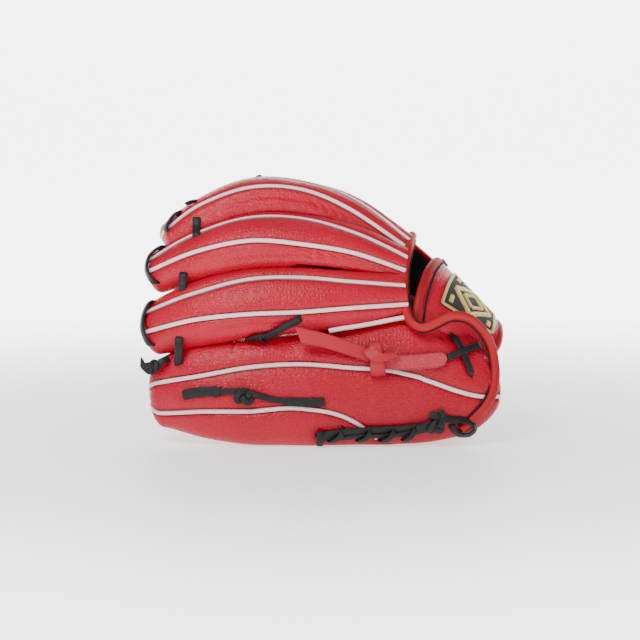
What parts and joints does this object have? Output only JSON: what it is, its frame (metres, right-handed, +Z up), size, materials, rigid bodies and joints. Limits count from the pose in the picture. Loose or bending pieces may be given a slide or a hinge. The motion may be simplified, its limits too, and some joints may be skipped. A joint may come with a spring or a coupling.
{
  "type": "fielder's glove",
  "caption": "Laced red leather fielder's glove for the left hand, standing folded on its little-finger and thumb edges, with a fold hinge that opens and closes the pocket.",
  "frame": {"origin": "centre of the bounding box in X and Y, at the floor the glove stands on", "axes": "+X from the fingertips to the wrist, +Z up, the back of the fingers faces -Y"},
  "size_m": [0.2885, 0.1932, 0.2048],
  "materials": {
    "shell_leather": "pebbled red leather, satin",
    "welt_leather": "pale split-leather welts, matt",
    "lining_leather": "soft black lining leather, matt",
    "binding_leather": "rolled red binding leather, satin",
    "strap_leather": "red lace leather, suede on one side",
    "rawhide_lace": "black rawhide lace, satin",
    "felt_pad": "felt heel padding",
    "patch_cloth": "black woven patch",
    "gold_thread": "gold embroidery"
  },
  "bodies": {
    "finger_side": {"index_upper_panel": "shell_leather", "index_center_panel": "shell_leather", "index_lower_panel": "shell_leather", "index_welts": "welt_leather", "middle_upper_panel": "shell_leather", "middle_center_panel": "shell_leather", "middle_lower_panel": "shell_leather", "middle_welts": "welt_leather", "ring_upper_panel": "shell_leather", "ring_center_panel": "shell_leather", "ring_lower_panel": "shell_leather", "ring_welts": "welt_leather", "pinky_upper_panel": "shell_leather", "pinky_center_panel": "shell_leather", "pinky_lower_panel": "shell_leather", "pinky_welts": "welt_leather", "palm_finger_side": "shell_leather", "lining_finger_side": "lining_leather", "back_lining": "lining_leather", "pinky_heel_pad": "felt_pad", "wrist_strap": "shell_leather", "strap_front_roll": "binding_leather", "strap_rear_roll": "binding_leather", "label_patch": "patch_cloth", "label_border": "gold_thread", "label_emblem": "gold_thread", "opening_binding": "binding_leather", "wrist_binding": "binding_leather", "fingertip_lace": "rawhide_lace", "fingertip_knot": "rawhide_lace", "finger_gap_lace": "rawhide_lace", "pinky_adjust_lace": "rawhide_lace", "pinky_adjust_knot": "rawhide_lace", "pull_strap": "strap_leather", "pull_strap_knot": "strap_leather", "strap_cross_lace": "rawhide_lace", "heel_lace": "rawhide_lace", "heel_lace_knot": "rawhide_lace"},
    "thumb_side": {"thumb_upper_panel": "shell_leather", "thumb_center_panel": "shell_leather", "thumb_lower_panel": "shell_leather", "thumb_welts": "welt_leather", "thumb_base_panel": "shell_leather", "thumb_base_welt": "welt_leather", "palm_thumb_side": "shell_leather", "lining_thumb_side": "lining_leather", "thumb_heel_pad": "felt_pad", "thumb_binding": "binding_leather", "web_top_bar": "shell_leather", "web_post": "shell_leather", "web_base_bar": "shell_leather", "web_index_lace": "rawhide_lace", "web_thumb_lace": "rawhide_lace", "web_top_lace": "rawhide_lace", "thumb_adjust_lace": "rawhide_lace", "thumb_adjust_knot": "rawhide_lace", "thumb_heel_lace": "rawhide_lace"}
  },
  "joints": [
    {"name": "fold_hinge", "type": "hinge", "parent": "finger_side", "child": "thumb_side", "pos_m": [-0.09808, 0.02231, 0.17415], "axis": [0.9113, -0.0418, -0.4097], "range_deg": [-22, 5]}
  ]
}
